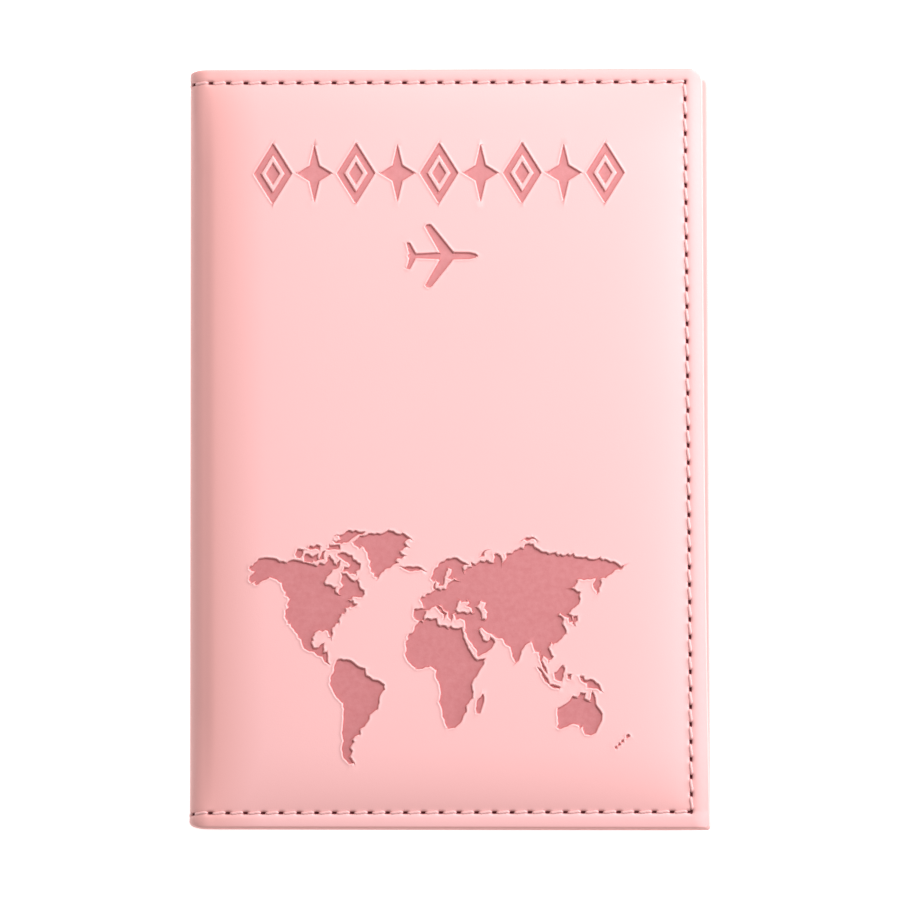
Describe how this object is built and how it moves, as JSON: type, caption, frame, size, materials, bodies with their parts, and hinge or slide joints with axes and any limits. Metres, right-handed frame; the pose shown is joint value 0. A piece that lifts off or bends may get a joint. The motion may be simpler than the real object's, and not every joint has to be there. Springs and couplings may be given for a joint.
{
  "type": "passport holder",
  "caption": "Padded leather bifold passport holder with a stamped world map, edge stitching, card pockets and a passport sleeve; opens flat at its soft spine.",
  "frame": {"origin": "centre of the closed holder's underside: the middle of the bounding box's bottom face", "axes": "+Z through the thickness, from the back cover up to the front cover; +Y to the holder's top edge; +X from the spine to the opening edge"},
  "size_m": [0.0982, 0.144, 0.0128],
  "materials": {
    "pink_leather": "matte",
    "inner_leather": "matte",
    "lining_cloth": "matte",
    "pink_thread": "satin",
    "foam": "matte",
    "card_board": "matte"
  },
  "bodies": {
    "back_cover": {"back_cover_leather": "pink_leather", "back_foam_pad": "foam", "back_stiffener_board": "card_board", "back_lining": "lining_cloth", "back_passport_sleeve": "inner_leather", "back_outer_thread": "pink_thread", "back_inner_thread": "pink_thread", "sleeve_mouth_thread": "pink_thread"},
    "spine": {"spine_leather": "pink_leather", "spine_lining": "lining_cloth", "spine_outer_thread": "pink_thread", "spine_inner_thread": "pink_thread"},
    "front_cover": {"front_cover_leather": "pink_leather", "front_foam_pad": "foam", "front_stiffener_board": "card_board", "front_lining": "lining_cloth", "front_slip_panel": "inner_leather", "card_pocket_upper": "inner_leather", "card_pocket_middle": "inner_leather", "card_pocket_lower": "inner_leather", "front_outer_thread": "pink_thread", "front_inner_thread": "pink_thread", "pocket_side_thread": "pink_thread", "pocket_bottom_thread": "pink_thread"}
  },
  "joints": [
    {"name": "back_fold", "type": "hinge", "parent": "back_cover", "child": "spine", "pos_m": [-0.04754, 0, 0.00286], "axis": [0, -1, 0], "range_deg": [0, 90]},
    {"name": "front_fold", "type": "hinge", "parent": "spine", "child": "front_cover", "pos_m": [-0.04754, 0, 0.00994], "axis": [0, -1, 0], "range_deg": [0, 90]}
  ],
  "couplings": [
    {"joint": "front_fold", "follows": "back_fold", "ratio": 1}
  ]
}
